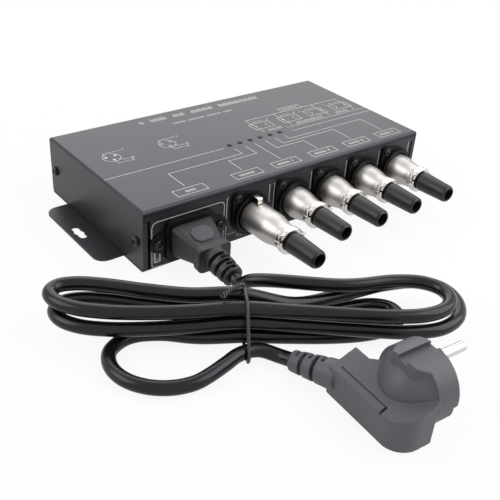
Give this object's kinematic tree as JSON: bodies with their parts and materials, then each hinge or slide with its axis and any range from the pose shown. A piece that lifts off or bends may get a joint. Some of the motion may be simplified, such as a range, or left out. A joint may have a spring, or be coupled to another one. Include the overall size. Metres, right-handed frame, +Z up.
{
  "type": "dmx splitter",
  "caption": "Folded steel box that splits one data line into several outputs, with mains inlet, round sockets, fitted plugs, fixing ears and a bundled mains lead.",
  "frame": {"origin": "middle of the underside of the box", "axes": "+Z up, -Y out of the front with the sockets, +X along the front to the right as seen from above with the front towards the viewer"},
  "size_m": [0.2867, 0.2798, 0.0373],
  "materials": {
    "black_sheet": "fine textured satin",
    "black_screw": "satin",
    "black_plastic": "satin",
    "boot_plastic": "satin",
    "grey_rubber": "fine matte grain",
    "nickel": "satin nickel",
    "brass": "bright",
    "board_green": "solder mask",
    "cord_black": "glossy",
    "tie_wire": "satin",
    "clear_lens": "clear"
  },
  "bodies": {
    "box": {"base_tray": "black_sheet", "top_cover": "black_sheet", "cover_screw_front_left": "black_screw", "cover_screw_front_right": "black_screw", "cover_screw_back_left": "black_screw", "cover_screw_back_right": "black_screw", "mains_inlet": "black_plastic", "mains_inlet_blade_line": "brass", "mains_inlet_blade_earth": "brass", "mains_inlet_blade_neutral": "brass", "mains_inlet_screw_left": "black_screw", "mains_inlet_screw_right": "black_screw", "input_socket": "black_plastic", "output_socket_1": "black_plastic", "output_socket_2": "black_plastic", "output_socket_3": "black_plastic", "output_socket_4": "black_plastic", "main_board": "board_green", "board_pillar_1": "brass", "board_pillar_2": "brass", "board_pillar_3": "brass", "board_pillar_4": "brass", "power_module": "black_plastic", "driver_chip_1": "black_plastic", "driver_chip_2": "black_plastic", "driver_chip_3": "black_plastic", "driver_chip_4": "black_plastic", "capacitor_1": "black_plastic", "capacitor_2": "black_plastic", "mains_fuse": "nickel", "indicator_light_guide": "clear_lens"},
    "input_plug": {"input_plug_shell": "nickel", "input_plug_insert": "black_plastic", "input_plug_clamp": "nickel", "input_plug_boot": "boot_plastic"},
    "input_latch": {"input_plug_latch": "nickel"},
    "output_plug_1": {"output_plug_1_shell": "nickel", "output_plug_1_insert": "black_plastic", "output_plug_1_clamp": "nickel", "output_plug_1_boot": "boot_plastic"},
    "output_plug_2": {"output_plug_2_shell": "nickel", "output_plug_2_insert": "black_plastic", "output_plug_2_clamp": "nickel", "output_plug_2_boot": "boot_plastic"},
    "output_plug_3": {"output_plug_3_shell": "nickel", "output_plug_3_insert": "black_plastic", "output_plug_3_clamp": "nickel", "output_plug_3_boot": "boot_plastic"},
    "output_plug_4": {"output_plug_4_shell": "nickel", "output_plug_4_insert": "black_plastic", "output_plug_4_clamp": "nickel", "output_plug_4_boot": "boot_plastic"},
    "mains_lead": {"mains_connector": "grey_rubber", "mains_cord_hank": "cord_black", "mains_cord_tail": "cord_black", "twist_tie": "tie_wire", "wall_plug": "grey_rubber", "wall_plug_pin_line": "nickel", "wall_plug_pin_neutral": "nickel"}
  },
  "joints": [
    {"name": "input_plug_pull", "type": "slide", "parent": "box", "child": "input_plug", "axis": [0, -1, 0], "range_m": [0, 0.0185]},
    {"name": "input_latch_press", "type": "slide", "parent": "input_plug", "child": "input_latch", "axis": [0, 0, -1], "range_m": [0, 0.0012], "stiffness_N_per_m": 800},
    {"name": "output_plug_1_pull", "type": "slide", "parent": "box", "child": "output_plug_1", "axis": [0, -1, 0], "range_m": [0, 0.0185]},
    {"name": "output_plug_2_pull", "type": "slide", "parent": "box", "child": "output_plug_2", "axis": [0, -1, 0], "range_m": [0, 0.0185]},
    {"name": "output_plug_3_pull", "type": "slide", "parent": "box", "child": "output_plug_3", "axis": [0, -1, 0], "range_m": [0, 0.0185]},
    {"name": "output_plug_4_pull", "type": "slide", "parent": "box", "child": "output_plug_4", "axis": [0, -1, 0], "range_m": [0, 0.0185]},
    {"name": "mains_connector_pull", "type": "slide", "parent": "box", "child": "mains_lead", "axis": [0, -1, 0], "range_m": [0, 0.0185]}
  ]
}
